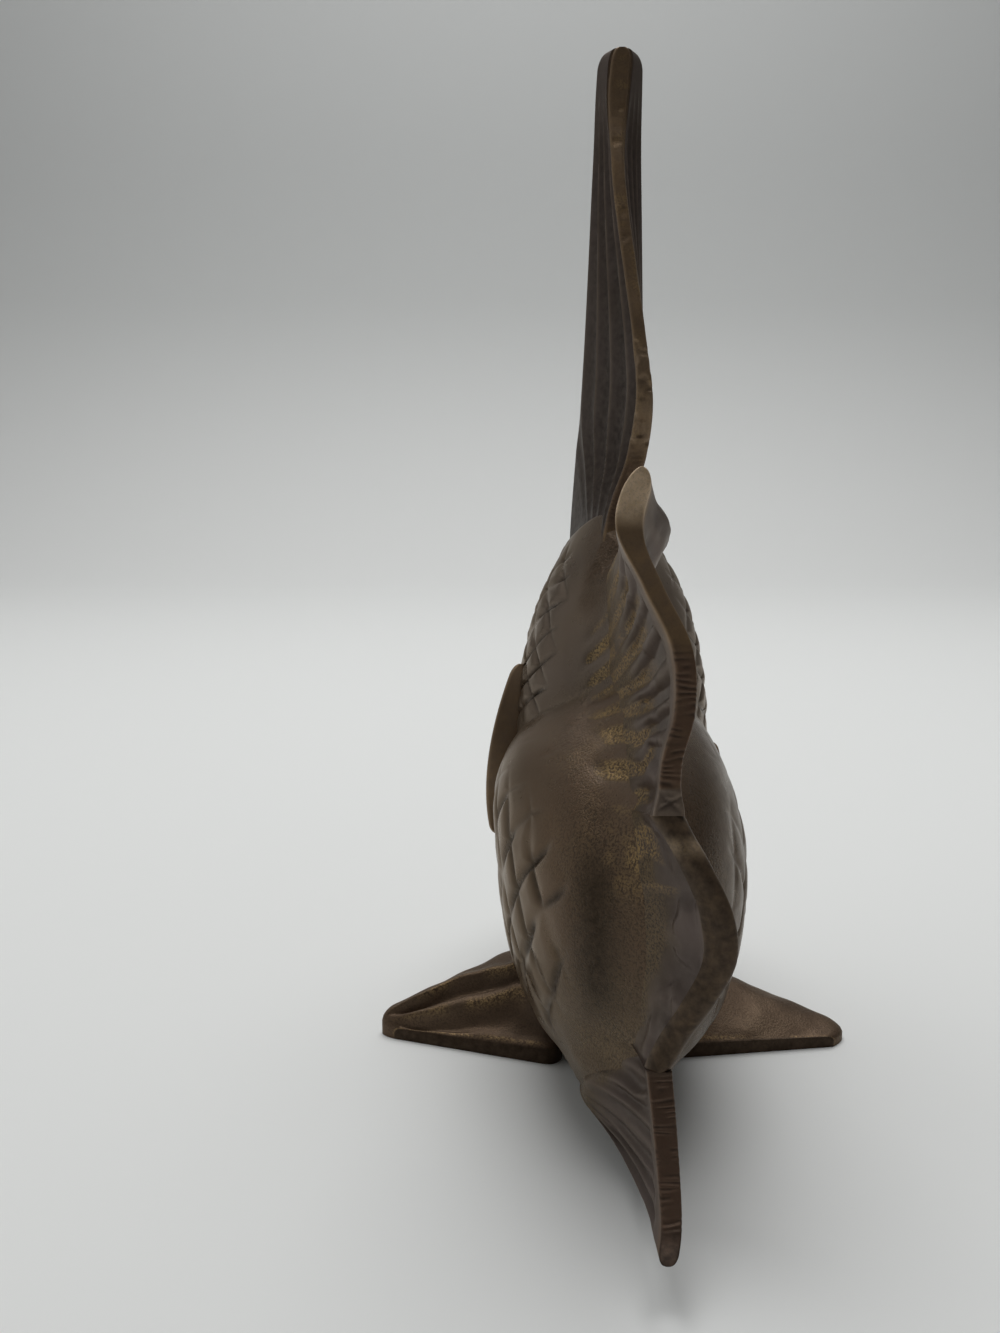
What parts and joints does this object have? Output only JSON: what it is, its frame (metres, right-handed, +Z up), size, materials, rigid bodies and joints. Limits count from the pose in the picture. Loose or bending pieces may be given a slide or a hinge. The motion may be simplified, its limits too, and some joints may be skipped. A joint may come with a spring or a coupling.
{
  "type": "angelfish figurine",
  "caption": "Dark patinated brass angelfish ornament with a scaled hollow body, tall dorsal blade and ruffled tail, standing on spread pelvic fins.",
  "frame": {"origin": "on the floor under the middle of the figurine's bounding box", "axes": "+Z up, +Y from the tail towards the head, +X towards the fish's right side"},
  "size_m": [0.099, 0.1468, 0.202],
  "materials": {
    "body_patina": "satin",
    "fin_patina": "satin",
    "foot_patina": "satin"
  },
  "bodies": {
    "root": {"body_shell_left": "body_patina", "body_shell_right": "body_patina", "dorsal_fin": "fin_patina", "tail_fin_upper": "fin_patina", "tail_fin_lower": "fin_patina", "anal_fin": "fin_patina", "pectoral_fin_left": "fin_patina", "pectoral_fin_right": "fin_patina", "pelvic_fin_left": "foot_patina", "pelvic_fin_right": "foot_patina"}
  },
  "joints": []
}
